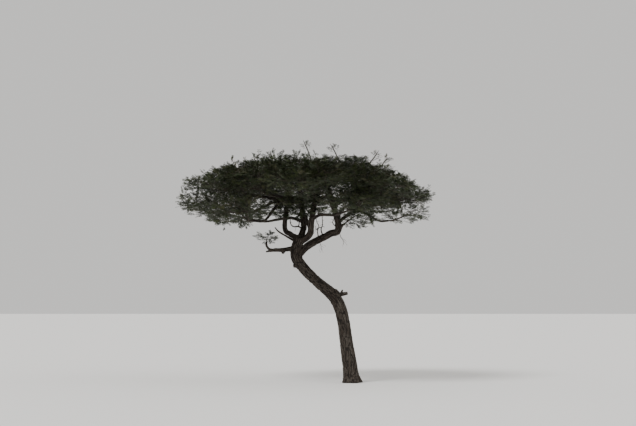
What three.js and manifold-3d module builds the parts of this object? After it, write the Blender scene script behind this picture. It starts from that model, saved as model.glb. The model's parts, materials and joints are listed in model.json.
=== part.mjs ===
// Umbrella acacia: a leaning trunk, spreading boughs and a flat-topped crown in separate masses of leaf.
// Millimetres, +Z up. X runs across the tree, Y into its depth. The origin is in the flat cut at ground level.
import * as THREE from "three";
import { mergeVertices } from "three/addons/utils/BufferGeometryUtils.js";
import Module from "manifold-3d";

const wasm = await Module();
wasm.setup();

const vec = (x, y, z) => new THREE.Vector3(x, y, z);
const UP = vec(0, 0, 1);

// Driving dimensions
const CROWN_AXIS = vec(-1380, 0, 0); // the upright line that the crown is centred on
const CROWN_RADIUS = 4060; // from that line to the furthest tips
const CROWN_TOP = 7320; // height of the dome of leaf, without the shoots that stand out of it
const TREE_TOP = 7780; // height of the tallest shoot
const CLEARANCE = 0.3; // between solids that meet
const SEED = 20;

// Trunk: where its middle runs and how thick it is, from the ground to the fork
const TRUNK = [
  { at: vec(0, 0, 0), radius: 236 },
  { at: vec(-62, 0, 520), radius: 228 },
  { at: vec(-165, 10, 1230), radius: 200 },
  { at: vec(-255, 25, 1900), radius: 192 },
  { at: vec(-400, 45, 2440), radius: 188 },
  { at: vec(-655, 60, 2820), radius: 182 },
  { at: vec(-1090, 55, 3180), radius: 156 },
  { at: vec(-1490, 30, 3575), radius: 158 },
  { at: vec(-1750, 0, 3950), radius: 170 },
  { at: vec(-1750, -10, 4270), radius: 176 },
  { at: vec(-1680, 0, 4580), radius: 164 },
];
const TRUNK_SIDES = 16;
const TRUNK_RINGS = 21;
const FLARE = { height: 420, spread: 0.34, toes: 5, depth: 0.16 }; // the widening above the roots

// Main boughs: each leaves the trunk at a share of its length, passes through its bends and ends in a mass.
// It has its radius at the trunk and its knee's radius at the last bend. Its sector is the direction round the
// crown, in degrees, that its side boughs serve.
const MAIN_BOUGHS = {
  right: {
    leaves: 0.82,
    bends: [vec(-1360, -50, 4360), vec(-700, -110, 4710), vec(-420, -140, 4950)],
    radius: 116,
    knee: 100,
    feeds: "mid_0",
    sector: 0,
  },
  back: {
    leaves: 0.97,
    bends: [vec(-1570, 170, 4800), vec(-1540, 360, 5140)],
    radius: 100,
    knee: 90,
    feeds: "mid_2",
    sector: 105,
  },
  left: {
    leaves: 0.98,
    bends: [vec(-1950, 20, 4715), vec(-2140, 30, 5000)],
    radius: 82,
    knee: 72,
    feeds: "mid_3",
    sector: 190,
  },
  front: {
    leaves: 0.96,
    bends: [vec(-1340, -160, 4700), vec(-1270, -420, 5150)],
    radius: 102,
    knee: 90,
    feeds: "mid_5",
    sector: 285,
  },
};
const BOUGH_TIP = 30; // radius where a bough enters its mass
const BOUGH_SIDES = 8;
const BOUGH_RINGS = 4;
const LAST_RISE = 260; // length of the straight end of a main bough, below its mass

// Side boughs curve out of a main one and come up under their mass
const SIDE_RADIUS = 50;
const SIDE_SHARE = 0.8; // the most of its parent's radius that a side bough starts with
const SIDE_SIDES = 6;
const SIDE_SPREAD = 0.6; // how far it turns at once from its parent's direction to its own
const SIDE_HANDLE = 0.38; // how long its curve keeps each end's direction

// Wood that feeds no mass from its tip: a broken bough and a thin one on the left, a snapped stub on the knee
// of the trunk and the short prong that stands up from it
const BARE_WOOD = {
  dead: {
    from: "trunk",
    leaves: 0.9,
    bends: [vec(-2190, -30, 4210), vec(-2450, -50, 4205)],
    end: [vec(-2735, -70, 4150)],
    radius: 70,
    knee: 54,
    tip: 20,
  },
  thin: {
    from: "trunk",
    leaves: 0.93,
    bends: [vec(-1990, -90, 4590), vec(-2320, -140, 4785), vec(-2450, -160, 4930)],
    radius: 38,
    tip: 13,
  },
  stub: {
    from: "trunk",
    leaves: 0.475,
    bends: [vec(-304, 20, 2797), vec(-130, 10, 2832)],
    radius: 68,
    tip: 46,
  },
  prong: {
    from: "stub",
    leaves: 0.5,
    bends: [vec(-318, 10, 2870), vec(-280, 0, 2935)],
    radius: 32,
    tip: 18,
  },
};

// Rings of leaf masses round the crown's axis: the first is to the right and the count goes into the depth.
// Each mass is a flat pad: its reach is level, its rise and drop are above and below its middle.
const RINGS = {
  rim: {
    count: 8,
    distance: CROWN_RADIUS - 1260,
    height: 6200,
    toLeft: 140,
    toBack: 60,
    pad: { reach: 1260, rise: 640, drop: 520, twigs: 8, share: 0.66 },
  },
  mid: {
    count: 6,
    distance: 1600,
    height: CROWN_TOP - 600,
    toLeft: 0,
    toBack: 60,
    pad: { reach: 1120, rise: 600, drop: 430, twigs: 6, share: 0.8 },
  },
};

// Masses that the rings don't give. Each is fed by a side bough from a share along another bough. The tuft's
// comes in nearly under its middle.
const SINGLE_MASSES = {
  top: {
    at: vec(-1400, 60, 6880), reach: 950, rise: 520, drop: 380,
    twigs: 6, from: "back", share: 0.8,
  },
  low_left: {
    at: vec(-4350, 0, 5680), reach: 1310, rise: 370, drop: 400,
    twigs: 8, from: "left", share: 0.6,
  },
  low_front: {
    at: vec(-3560, -2000, 5310), reach: 1000, rise: 440, drop: 470,
    twigs: 7, from: "left", share: 0.6,
  },
  low_back: {
    at: vec(-3800, 1950, 5590), reach: 1070, rise: 430, drop: 450,
    twigs: 6, from: "back", share: 0.5,
  },
  low_right: {
    at: vec(100, -2350, 5520), reach: 1120, rise: 400, drop: 400,
    twigs: 7, from: "front", share: 0.5,
  },
  inner_right: {
    at: vec(270, -300, 5260), reach: 740, rise: 340, drop: 340,
    twigs: 6, from: "right", share: 0.56,
  },
  inner_middle: {
    at: vec(-1800, -200, 5580), reach: 1100, rise: 360, drop: 370,
    twigs: 6, from: "front", share: 0.38,
  },
  outer_right: {
    at: vec(1750, -150, 5370), reach: 840, rise: 330, drop: 370,
    twigs: 6, from: "rim_0", share: 0.55,
  },
  dead_tuft: {
    at: vec(-2680, -60, 4580), reach: 380, rise: 190, drop: 180,
    twigs: 4, from: "dead", share: 0.75, inward: -0.1,
  },
};

// Upright shoots that stand out of the dome: the mass each grows in, and its tip
const SHOOTS = [
  { grownIn: "top", tip: vec(-1552, 0, TREE_TOP) },
  { grownIn: "mid_5", tip: vec(-700, -1400, 7430) },
  { grownIn: "mid_0", tip: vec(910, 0, 7420) },
];

// The space of a mass
const ROUNDNESS = 3; // of its outline: 2 is an ellipse, and higher is fuller at the edges
const STRETCH = 2; // flat masses part along planes that are found as if they were this much taller
const ENTRY = { inward: 0.66, below: 0.62 }; // where the bough comes in, in shares of the reach and the drop
const ENTRY_MARGIN = 40;
const ENTRY_STEP = 0.05; // an entry outside its space moves towards the middle by this share
const SPACE_MARGIN = 3;
const LIMB_MARGIN = 6;

// Twigs
const STEM_SHARE = 0.35; // length of a mass's stem, as a share of its reach
const STEM_TAPER = 0.8;
const STEM_SIDES = 6;
const TWIG_SIDES = 3;
const TWIG_TIP = 15;
const TWIG_GROWTH = 0.35; // how a twig thickens with the twigs it carries
const TWIG_SHOULDER = 1.5; // a twig's point is this many radii long
const TWIG_SPREAD = 0.66; // twigs end within this share of a mass's reach, and leaves go on from there
const TWIG_INSET = 90; // and this far inside its space
const TWIG_ROOM = 60; // and this far from a limb
const TURN_COST = 0.55; // what a sharp turn costs a new twig, beside its length
const PATH_COST = 0.28; // and what a long way back to the stem costs
const HOLD_STEP = 150; // a new twig may spring from any of these steps along an older one
const CANDIDATES = 20;

// Leaves, each standing for a spray
const LEAF = { length: 860, width: 460, thickness: 18, widest: 0.4, thickest: 0.1 };
const FULL_REACH = 1200; // a mass that reaches less than this has smaller leaves
const LEAF_PLACES = [ // where along its twig each leaf is set, and its heading from the twig's, in degrees
  { share: 0.97, turn: 0 },
  { share: 0.74, turn: 62 },
  { share: 0.5, turn: -62 },
];
const LEAF_TRIES = 5;
const LEAF_SWING = 70; // degrees that a leaf's heading varies over
const LEAF_ROLL = 120; // and its roll
const LEAF_LIFT = { range: 0.55, bias: 0.15 }; // how steeply it may point, and how far that leans upwards
const LEAF_LEVEL = 0.3; // how much of its twig's slope it follows
const LEAF_LEAST = 0.45; // the least share of its full size that a leaf shrinks to
const LEAF_STEP = 0.1;
const SHOOT_LEAF = 0.35; // how large a shoot's leaves are beside the others
const LEAF_GAP = 2;

const SMALLEST = 2.5; // finer detail than this is left out of a mass
const LIMB_DETAIL = 0.1; // and finer than this out of a limb
const WELD = 1e-3;

// Random numbers from 0 to 1 that repeat for the same seed
const RANDOM = { factor: 1664525, step: 1013904223, range: 2 ** 32, perMass: 7919 };

function randomFrom(seed) {
  let state = seed >>> 0;
  return () => {
    state = (Math.imul(state, RANDOM.factor) + RANDOM.step) >>> 0;
    return state / RANDOM.range;
  };
}

const mix = (a, b, share) => a + (b - a) * share;
const degrees = THREE.MathUtils.degToRad;
const turnedTo = (along) => new THREE.Quaternion().setFromUnitVectors(vec(0, 1, 0), along);
const lastOf = (list) => list[list.length - 1];
const leastOf = (list, cost) => list.reduce((a, b) => (cost(b) < cost(a) ? b : a));

// A limb's middle line, sampled evenly, with radii and a sideways direction that never twists
function rails(stations, rings) {
  const curve = new THREE.CatmullRomCurve3(stations.map((station) => station.at), false, "catmullrom", 0.5);
  const side = vec(0, 1, 0);
  const rail = [];
  for (let ring = 0; ring <= rings; ring++) {
    const place = (ring / rings) * (stations.length - 1);
    const before = Math.min(Math.floor(place), stations.length - 2);
    const along = curve.getTangent(ring / rings);
    side.addScaledVector(along, -side.dot(along)).normalize();
    rail.push({
      at: curve.getPoint(ring / rings),
      along,
      side: side.clone(),
      radius: mix(stations[before].radius, stations[before + 1].radius, place - before),
    });
  }
  return rail;
}

// A capped cylinder whose rings are laid along the rail. The shape function widens a ring by direction.
function limbGeometry(rail, sides, grow, shape = () => 1) {
  const geometry = new THREE.CylinderGeometry(1, 1, 1, sides, rail.length - 1);
  const position = geometry.attributes.position;
  for (let i = 0; i < position.count; i++) {
    const ring = Math.round((position.getY(i) + 0.5) * (rail.length - 1));
    const { at, along, side, radius } = rail[ring];
    const across = side.clone().multiplyScalar(position.getX(i));
    across.addScaledVector(vec(0, 0, 0).crossVectors(side, along), position.getZ(i));
    const wide = radius * shape(at, across) + grow;
    const place = at.clone().addScaledVector(across, wide);
    if (ring === rail.length - 1) place.addScaledVector(along, grow);
    if (at.z === 0) place.z = 0;
    position.setXYZ(i, place.x, place.y, place.z);
  }
  return geometry;
}

function solidOf(geometry) {
  const bare = geometry.index ? geometry.toNonIndexed() : geometry.clone();
  bare.deleteAttribute("normal");
  bare.deleteAttribute("uv");
  const merged = mergeVertices(bare, WELD);
  const vertProperties = merged.attributes.position.array;
  const triVerts = new Uint32Array(merged.index.array);
  return new wasm.Manifold(new wasm.Mesh({ numProp: 3, vertProperties, triVerts }));
}

function geometryOf(solid) {
  const { vertProperties, triVerts, numProp } = solid.getMesh();
  const geometry = new THREE.BufferGeometry();
  geometry.setAttribute("position", new THREE.BufferAttribute(new Float32Array(vertProperties), numProp));
  geometry.setIndex(new THREE.BufferAttribute(new Uint32Array(triVerts), 1));
  geometry.computeVertexNormals();
  return geometry;
}

const largestOf = (solid) => leastOf(solid.decompose(), (piece) => -piece.volume());

// Every limb, in the order it is made: its rail, its solid, and a slightly fatter one that cuts what joins it
const limbs = new Map();

function addLimb(name, rail, sides, shape) {
  let solid = solidOf(limbGeometry(rail, sides, 0, shape));
  for (const other of limbs.values()) solid = solid.subtract(other.cutter);
  solid = largestOf(solid).simplify(LIMB_DETAIL);
  limbs.set(name, { rail, solid, cutter: solidOf(limbGeometry(rail, sides, CLEARANCE, shape)) });
  return rail;
}

// The foot of the trunk widens into rounded toes where the roots begin
function footShape(at, across) {
  const near = Math.max(0, 1 - at.z / FLARE.height);
  const toes = FLARE.depth * Math.cos(FLARE.toes * Math.atan2(across.y, across.x));
  return 1 + near * near * (FLARE.spread + toes);
}

function placeOn(name, share) {
  const { rail } = limbs.get(name);
  return rail[Math.round(share * (rail.length - 1))];
}

// A bough that leaves the trunk, or another bough, and passes through its bends
function boughPath({ from = "trunk", leaves, bends, radius, tip = BOUGH_TIP, knee = tip }, end = []) {
  const path = [placeOn(from, leaves).at, ...bends, ...end];
  const past = path.length - bends.length - 1;
  return path.map((at, i) => {
    const beyond = i - bends.length;
    return { at, radius: beyond > 0 ? mix(knee, tip, beyond / past) : mix(radius, knee, i / bends.length) };
  });
}

// A side bough that swings out of its parent and comes up under its mass
function sidePath(from, mass) {
  const parent = placeOn(from, mass.share);
  const away = mass.entry.clone().sub(parent.at);
  const handle = SIDE_HANDLE * away.length();
  const leave = parent.along.clone().lerp(vec(away.x, away.y, 0).normalize(), SIDE_SPREAD).normalize();
  const curve = new THREE.CubicBezierCurve3(
    parent.at,
    parent.at.clone().addScaledVector(leave, handle),
    mass.entry.clone().addScaledVector(mass.heading, -handle),
    mass.entry,
  );
  const radius = Math.min(SIDE_RADIUS, SIDE_SHARE * parent.radius);
  const points = curve.getPoints(BOUGH_RINGS);
  return points.map((at, i) => ({ at, radius: mix(radius, BOUGH_TIP, i / BOUGH_RINGS) }));
}

// The masses, their spaces and where each is entered from below
function massList() {
  const list = [];
  for (const [ring, { count, distance, height, toLeft, toBack, pad }] of Object.entries(RINGS))
    for (let i = 0; i < count; i++) {
      const azimuth = (360 * i) / count;
      const [c, s] = [Math.cos(degrees(azimuth)), Math.sin(degrees(azimuth))];
      const at = CROWN_AXIS.clone().add(vec(distance * c, distance * s, height - toLeft * c + toBack * s));
      list.push({ name: `${ring}_${i}`, at, azimuth, ...pad });
    }
  for (const [name, spec] of Object.entries(SINGLE_MASSES)) list.push({ name, ...spec });
  for (const mass of list) {
    mass.planes = partingPlanes(mass, list);
    const inward = vec(CROWN_AXIS.x - mass.at.x, CROWN_AXIS.y - mass.at.y, 0);
    const share = (mass.inward ?? ENTRY.inward) * Math.min(mass.reach, inward.length());
    mass.entry = mass.at.clone().addScaledVector(inward.normalize(), share);
    mass.entry.z -= ENTRY.below * mass.drop;
    while (!insideSpace(mass, mass.entry, ENTRY_MARGIN)) mass.entry.lerp(mass.at, ENTRY_STEP);
    mass.heading = mass.at.clone().sub(mass.entry).normalize();
  }
  return list;
}

const stretched = (p) => vec(p.x, p.y, p.z * STRETCH);

function partingPlanes(mass, masses) {
  const planes = [];
  for (const other of masses) {
    if (other === mass) continue;
    const line = stretched(other.at).sub(stretched(mass.at));
    const apart = line.length();
    if (apart > mass.reach + other.reach) continue;
    const share = (apart * apart + mass.reach ** 2 - other.reach ** 2) / (2 * apart);
    const point = stretched(mass.at).addScaledVector(line.normalize(), share);
    planes.push({ normal: line, offset: line.dot(point) });
  }
  return planes;
}

function insidePad(mass, p, margin) {
  const d = p.clone().sub(mass.at);
  const tall = (d.z > 0 ? mass.rise : mass.drop) - margin;
  const wide = mass.reach - margin;
  return (Math.hypot(d.x, d.y) / wide) ** ROUNDNESS + Math.abs(d.z / tall) ** ROUNDNESS < 1;
}

function insidePlanes(mass, p, margin) {
  const s = stretched(p);
  return mass.planes.every(({ normal, offset }) => normal.dot(s) < offset - margin);
}

const insideSpace = (mass, p, margin) => insidePad(mass, p, margin) && insidePlanes(mass, p, margin);

function nearLimb(p, room) {
  for (const { rail } of limbs.values())
    for (const { at, radius } of rail) if (at.distanceTo(p) < radius + room) return true;
  return false;
}

// Evenly scattered points in a mass's space: each is the loneliest of a few candidates
function scatter(mass, random) {
  const found = [mass.stemEnd];
  for (let n = 0; n < mass.twigs; n++) {
    let best = null;
    let bestGap = 0;
    for (let k = 0; k < CANDIDATES; k++) {
      const [a, b, c] = [random(), random(), random()].map((x) => 2 * x - 1);
      const height = c * (c > 0 ? mass.rise : mass.drop);
      const p = mass.at.clone().add(vec(a * mass.reach, b * mass.reach, height));
      const spread = mass.reach / TWIG_SPREAD;
      const outer = mass.at.clone().add(vec(a * spread, b * spread, height));
      if (!insidePad(mass, outer, 0) || !insideSpace(mass, p, TWIG_INSET) || nearLimb(p, TWIG_ROOM)) continue;
      const gap = Math.min(...found.map((q) => stretched(q).distanceTo(stretched(p))));
      if (gap > bestGap) [best, bestGap] = [p, gap];
    }
    if (best) found.push(best);
  }
  return found.slice(1);
}

// Joins each point in turn to the twig that reaches it most easily
function growTwigs(mass, points) {
  const twigs = [];
  const holds = [];
  const addTwig = (hold, to, isShoot) => {
    const along = to.clone().sub(hold.at);
    const length = along.length();
    along.normalize();
    twigs.push({ from: hold.at, to, along, length, parent: hold.twig, load: 1, isShoot });
    const steps = Math.max(2, Math.round(length / HOLD_STEP));
    const first = twigs.length > 1 ? 1 : steps - 1;
    for (let i = first; i < steps; i++) {
      const at = hold.at.clone().lerp(to, i / steps);
      holds.push({ at, along, path: hold.path + (length * i) / steps, twig: twigs.length - 1 });
    }
  };
  addTwig({ at: mass.stemStart, path: 0, twig: -1 }, mass.stemEnd, false);
  for (const p of points) {
    const cost = ({ at, along, path }) => {
      const way = p.clone().sub(at);
      const length = way.length();
      return length * (1 + TURN_COST * (1 - way.dot(along) / length)) + PATH_COST * path;
    };
    addTwig(leastOf(holds, cost), p, false);
  }
  for (const { grownIn, tip } of SHOOTS)
    if (grownIn === mass.name) addTwig(leastOf(holds, (hold) => hold.at.distanceTo(tip)), tip, true);
  for (let i = twigs.length - 1; i > 0; i--) twigs[twigs[i].parent].load += twigs[i].load;
  return twigs;
}

// The stem is a flat-ended peg that faces its bough's flat tip
function stemGeometry({ from, along, length, base, tip }) {
  const widest = Math.max(base, STEM_TAPER * BOUGH_TIP);
  const geometry = new THREE.CylinderGeometry(tip, widest, length, STEM_SIDES, 1);
  geometry.translate(0, length / 2, 0);
  return geometry.applyQuaternion(turnedTo(along)).translate(from.x, from.y, from.z);
}

// A twig starts as a point in the middle of its parent
function twigGeometry({ from, along, length, base, tip }) {
  const profile = [[0, 0], [base, TWIG_SHOULDER * base], [tip, length], [0, length]];
  const geometry = new THREE.LatheGeometry(profile.map(([x, y]) => new THREE.Vector2(x, y)), TWIG_SIDES);
  return geometry.applyQuaternion(turnedTo(along)).translate(from.x, from.y, from.z);
}

// A leaf: an eight-faced blade, pointed at both ends, its root in the middle of its twig
function leafGeometry(root, heading, roll, size) {
  const geometry = new THREE.OctahedronGeometry(1);
  const position = geometry.attributes.position;
  for (let i = 0; i < position.count; i++) {
    const [x, y, z] = [position.getX(i), position.getY(i), position.getZ(i)];
    const share = Math.abs(y) > 0.5 ? (y + 1) / 2 : Math.abs(x) > 0.5 ? LEAF.widest : LEAF.thickest;
    position.setXYZ(i, (x * LEAF.width * size) / 2, share * LEAF.length * size, (z * LEAF.thickness) / 2);
  }
  const side = vec(0, 0, 0).crossVectors(heading, UP).normalize();
  side.applyAxisAngle(heading, roll);
  const face = vec(0, 0, 0).crossVectors(side, heading);
  geometry.applyMatrix4(new THREE.Matrix4().makeBasis(side, heading, face));
  return geometry.translate(root.x, root.y, root.z);
}

// Fits a piece into its mass, or gives null where it would leave the space or touch a limb
function fitted(mass, geometry, isShoot) {
  const inside = isShoot ? insidePlanes : insideSpace;
  const position = geometry.attributes.position;
  for (let i = 0; i < position.count; i++)
    if (!inside(mass, vec(0, 0, 0).fromBufferAttribute(position, i), SPACE_MARGIN)) return null;
  const solid = solidOf(geometry);
  for (const limb of limbs.values()) if (solid.minGap(limb.solid, LIMB_MARGIN) < LIMB_MARGIN) return null;
  return solid;
}

function massSolid(mass, index) {
  const random = randomFrom(SEED + index * RANDOM.perMass);
  mass.stemStart = mass.entry.clone().addScaledVector(mass.heading, CLEARANCE);
  mass.stemEnd = mass.entry.clone().addScaledVector(mass.heading, STEM_SHARE * mass.reach);
  const twigs = growTwigs(mass, scatter(mass, random));
  const [stem, ...others] = twigs;
  stem.base = TWIG_TIP * stem.load ** TWIG_GROWTH;
  stem.tip = STEM_TAPER * stem.base;
  stem.solid = solidOf(stemGeometry(stem));
  for (const twig of others) {
    twig.base = TWIG_TIP * twig.load ** TWIG_GROWTH;
    twig.tip = TWIG_TIP;
    twig.solid = twigs[twig.parent].solid && fitted(mass, twigGeometry(twig), twig.isShoot);
  }
  const grown = others.filter((twig) => twig.solid);
  const leaves = [];
  for (const twig of grown) {
    const near = [stem, ...grown].filter((other) => other !== twig);
    addLeaves(mass, twig, near, leaves, random);
  }
  const wood = [stem, ...grown].map((twig) => twig.solid);
  return largestOf(wasm.Manifold.union([...wood, ...leaves]).simplify(SMALLEST));
}

// Each leaf takes the best of a few headings: as large as the space allows, and clear of the other leaves
function addLeaves(mass, twig, near, leaves, random) {
  const full = Math.min(1, mass.reach / FULL_REACH) * (twig.isShoot ? SHOOT_LEAF : 1);
  const level = vec(twig.along.x, twig.along.y, LEAF_LEVEL * twig.along.z).normalize();
  for (const { share, turn } of LEAF_PLACES) {
    const root = twig.from.clone().lerp(twig.to, share);
    const others = [...near.map((other) => other.solid), ...leaves];
    let best = null;
    let bestSize = LEAF_LEAST;
    for (let k = 0; k < LEAF_TRIES; k++) {
      const heading = level.clone().applyAxisAngle(UP, degrees(turn + LEAF_SWING * (random() - 0.5)));
      heading.z += LEAF_LIFT.range * (random() - 0.5) + LEAF_LIFT.bias * LEAF_LIFT.range;
      heading.normalize();
      const roll = degrees(LEAF_ROLL * (random() - 0.5));
      for (let size = 1; size > bestSize; size -= LEAF_STEP) {
        const leaf = fitted(mass, leafGeometry(root, heading, roll, size * full), twig.isShoot);
        if (!leaf || others.some((other) => leaf.minGap(other, LEAF_GAP) < LEAF_GAP)) continue;
        [best, bestSize] = [leaf, size];
        break;
      }
    }
    if (best) leaves.push(best);
  }
}

// Assembly: trunk, main boughs, bare wood and side boughs, then the masses
const masses = massList();

function nearestMain(azimuth) {
  const apart = ([, { sector }]) => Math.abs(((azimuth - sector + 540) % 360) - 180);
  return leastOf(Object.entries(MAIN_BOUGHS), apart)[0];
}

addLimb("trunk", rails(TRUNK, TRUNK_RINGS), TRUNK_SIDES, footShape);

for (const [name, spec] of Object.entries(MAIN_BOUGHS)) {
  const mass = masses.find((candidate) => candidate.name === spec.feeds);
  const below = mass.entry.clone().addScaledVector(mass.heading, -LAST_RISE);
  const rail = addLimb(name, rails(boughPath(spec, [below, mass.entry]), 2 * BOUGH_RINGS), BOUGH_SIDES);
  mass.heading = lastOf(rail).along.clone();
  mass.isFed = true;
}

for (const [name, spec] of Object.entries(BARE_WOOD))
  addLimb(name, rails(boughPath(spec, spec.end), BOUGH_RINGS), SIDE_SIDES);

for (const mass of masses) {
  if (mass.isFed) continue;
  const from = mass.from ?? nearestMain(mass.azimuth);
  const rail = addLimb(mass.name, rails(sidePath(from, mass), BOUGH_RINGS), SIDE_SIDES);
  mass.heading = lastOf(rail).along.clone();
}

const bark = new THREE.MeshStandardMaterial({ color: 0x4a4037, roughness: 0.95, metalness: 0 });
const foliage = new THREE.MeshStandardMaterial({ color: 0x3c4526, roughness: 0.85, metalness: 0 });
const tree = new THREE.Group();

function addNode(name, solid, material) {
  const mesh = new THREE.Mesh(geometryOf(solid), material);
  mesh.name = name;
  tree.add(mesh);
}

for (const [name, { solid }] of limbs) addNode(name === "trunk" ? name : `bough_${name}`, solid, bark);
masses.forEach((mass, index) => addNode(`leaves_${mass.name}`, massSolid(mass, index), foliage));

export default tree;
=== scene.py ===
import json
import math

import bmesh
import bpy
import numpy as np
from mathutils import Matrix, Vector, noise

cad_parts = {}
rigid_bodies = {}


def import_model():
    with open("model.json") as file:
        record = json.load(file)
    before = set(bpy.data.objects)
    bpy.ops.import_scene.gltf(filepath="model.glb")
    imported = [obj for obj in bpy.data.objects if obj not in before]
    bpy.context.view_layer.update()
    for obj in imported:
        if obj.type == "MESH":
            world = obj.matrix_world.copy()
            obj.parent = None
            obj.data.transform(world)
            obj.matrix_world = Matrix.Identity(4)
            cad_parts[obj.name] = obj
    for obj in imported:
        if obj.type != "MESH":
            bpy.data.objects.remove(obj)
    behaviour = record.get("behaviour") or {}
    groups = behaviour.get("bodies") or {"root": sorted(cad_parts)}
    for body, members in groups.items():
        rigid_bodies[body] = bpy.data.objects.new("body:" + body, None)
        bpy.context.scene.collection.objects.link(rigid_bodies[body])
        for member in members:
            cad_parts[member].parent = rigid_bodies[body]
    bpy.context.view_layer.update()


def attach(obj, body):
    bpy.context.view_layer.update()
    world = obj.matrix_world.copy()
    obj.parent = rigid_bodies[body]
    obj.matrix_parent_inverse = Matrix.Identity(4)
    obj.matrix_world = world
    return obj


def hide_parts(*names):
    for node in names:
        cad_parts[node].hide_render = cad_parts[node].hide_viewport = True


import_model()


# The crown's plan
# An umbrella acacia carries its leaf in flat pads: a ring of them round the rim, a higher ring further in,
# and a few low ones. Each pad keeps to a space of its own, and a bough comes up into it from below.
UP = np.array((0.0, 0.0, 1.0))
CROWN_AXIS = np.array((-1.38, 0.0, 0.0))
CROWN_RADIUS = 4.06
CROWN_TOP = 7.32
ROUNDNESS = 3  # of a pad's outline: 2 is an ellipse, and higher is fuller at the edges
STRETCH = np.array((1.0, 1.0, 2.0))  # flat pads part along planes that are found as if they were taller
ENTRY_INWARD = 0.66
ENTRY_BELOW = 0.62
ENTRY_MARGIN = 0.04
ENTRY_STEP = 0.05
# Below is the share of a pad's twigs that stay at its very bottom, and thin_to how far up the rest thin out.
# The pads under differ, counted from the right, have values of their own.
RINGS = {
    "rim": dict(count=8, distance=CROWN_RADIUS - 1.26, height=6.2, to_left=0.14, to_back=0.06,
                pad=dict(reach=1.26, rise=0.64, drop=0.52, twigs=8, share=0.66, below=0.7),
                differ={0: dict(below=1.0), 3: dict(below=0.25),
                        4: dict(below=0.0, thin_to=0.6), 5: dict(below=0.25)}),
    "mid": dict(count=6, distance=1.6, height=CROWN_TOP - 0.6, to_left=0.0, to_back=0.06,
                pad=dict(reach=1.12, rise=0.6, drop=0.43, twigs=6, share=0.8, below=0.3), differ={}),
}
SINGLE_PADS = {  # full: how closely the twigs stand, beside the rings' 1; even: without lumps or sprigs
    "top": dict(at=(-1.4, 0.06, 6.88), reach=0.95, rise=0.52, drop=0.38, twigs=6,
                parent="back", share=0.8, below=0.3),
    "low_left": dict(at=(-4.35, 0, 5.68), reach=1.31, rise=0.37, drop=0.4, twigs=8,
                     parent="left", share=0.6, full=0.74, below=0.2),
    "low_front": dict(at=(-3.56, -2.0, 5.31), reach=1.0, rise=0.44, drop=0.47, twigs=7,
                      parent="left", share=0.6, full=0.55),
    "low_back": dict(at=(-3.8, 1.95, 5.59), reach=1.07, rise=0.43, drop=0.45, twigs=6,
                     parent="back", share=0.5, full=0.47),
    "low_right": dict(at=(0.1, -2.35, 5.52), reach=1.12, rise=0.4, drop=0.4, twigs=7,
                      parent="front", share=0.5, full=0.65),
    "inner_right": dict(at=(0.27, -0.3, 5.26), reach=0.74, rise=0.34, drop=0.34, twigs=6,
                        parent="right", share=0.56, full=0.7),
    "inner_middle": dict(at=(-1.8, -0.2, 5.58), reach=1.1, rise=0.36, drop=0.37, twigs=6,
                         parent="front", share=0.38, full=0.9),
    "outer_right": dict(at=(1.75, -0.15, 5.37), reach=0.84, rise=0.33, drop=0.37, twigs=6,
                        parent="rim_0", share=0.55, full=0.5, below=0.4),
    "dead_tuft": dict(at=(-2.68, -0.06, 4.58), reach=0.38, rise=0.19, drop=0.18, twigs=4,
                      parent="dead", share=0.75, inward=-0.1, full=1.4, even=True),
}


def unit(v):
    return v / np.linalg.norm(v)


def inside_pad(pad, places, margin):
    off = places - pad["at"]
    tall = np.where(off[:, 2] > 0, pad["rise"], pad["drop"]) - margin
    wide = pad["reach"] - margin
    return (np.hypot(off[:, 0], off[:, 1]) / wide) ** ROUNDNESS + np.abs(off[:, 2] / tall) ** ROUNDNESS < 1


def inside_planes(pad, places, margin):
    return ((places * STRETCH) @ pad["normals"].T < pad["offsets"] - margin).all(axis=1)


def inside_space(pad, places, margin):
    return inside_pad(pad, places, margin) & inside_planes(pad, places, margin)


def part_pads(pad, pads):
    normals, offsets = [], []
    for other in pads:
        line = (other["at"] - pad["at"]) * STRETCH
        apart = np.linalg.norm(line)
        if other is pad or apart > pad["reach"] + other["reach"]:
            continue
        share = (apart**2 + pad["reach"] ** 2 - other["reach"] ** 2) / (2 * apart)
        normals.append(line / apart)
        offsets.append(normals[-1] @ (pad["at"] * STRETCH) + share)
    pad["normals"] = np.array(normals).reshape(-1, 3)
    pad["offsets"] = np.array(offsets)


def find_entry(pad):
    inward = CROWN_AXIS - pad["at"]
    inward[2] = 0
    share = pad.get("inward", ENTRY_INWARD) * min(pad["reach"], np.linalg.norm(inward))
    entry = pad["at"] + unit(inward) * share - UP * ENTRY_BELOW * pad["drop"]
    while not inside_space(pad, entry[None], ENTRY_MARGIN)[0]:
        entry = entry + (pad["at"] - entry) * ENTRY_STEP
    pad["entry"] = entry
    pad["heading"] = unit(pad["at"] - entry)


pads = []
for ring, spec in RINGS.items():
    for i in range(spec["count"]):
        turn = math.tau * i / spec["count"]
        across, deep = math.cos(turn), math.sin(turn)
        height = spec["height"] - spec["to_left"] * across + spec["to_back"] * deep
        at = CROWN_AXIS + np.array((spec["distance"] * across, spec["distance"] * deep, height))
        pads.append(dict(spec["pad"], name=f"{ring}_{i}", at=at, azimuth=math.degrees(turn)))
        pads[-1].update(spec["differ"].get(i, {}))
for name, spec in SINGLE_PADS.items():
    pads.append(dict(spec, name=name, at=np.array(spec["at"], dtype=float)))
for pad in pads:
    part_pads(pad, pads)
    find_entry(pad)
pad_named = {pad["name"]: pad for pad in pads}


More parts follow.
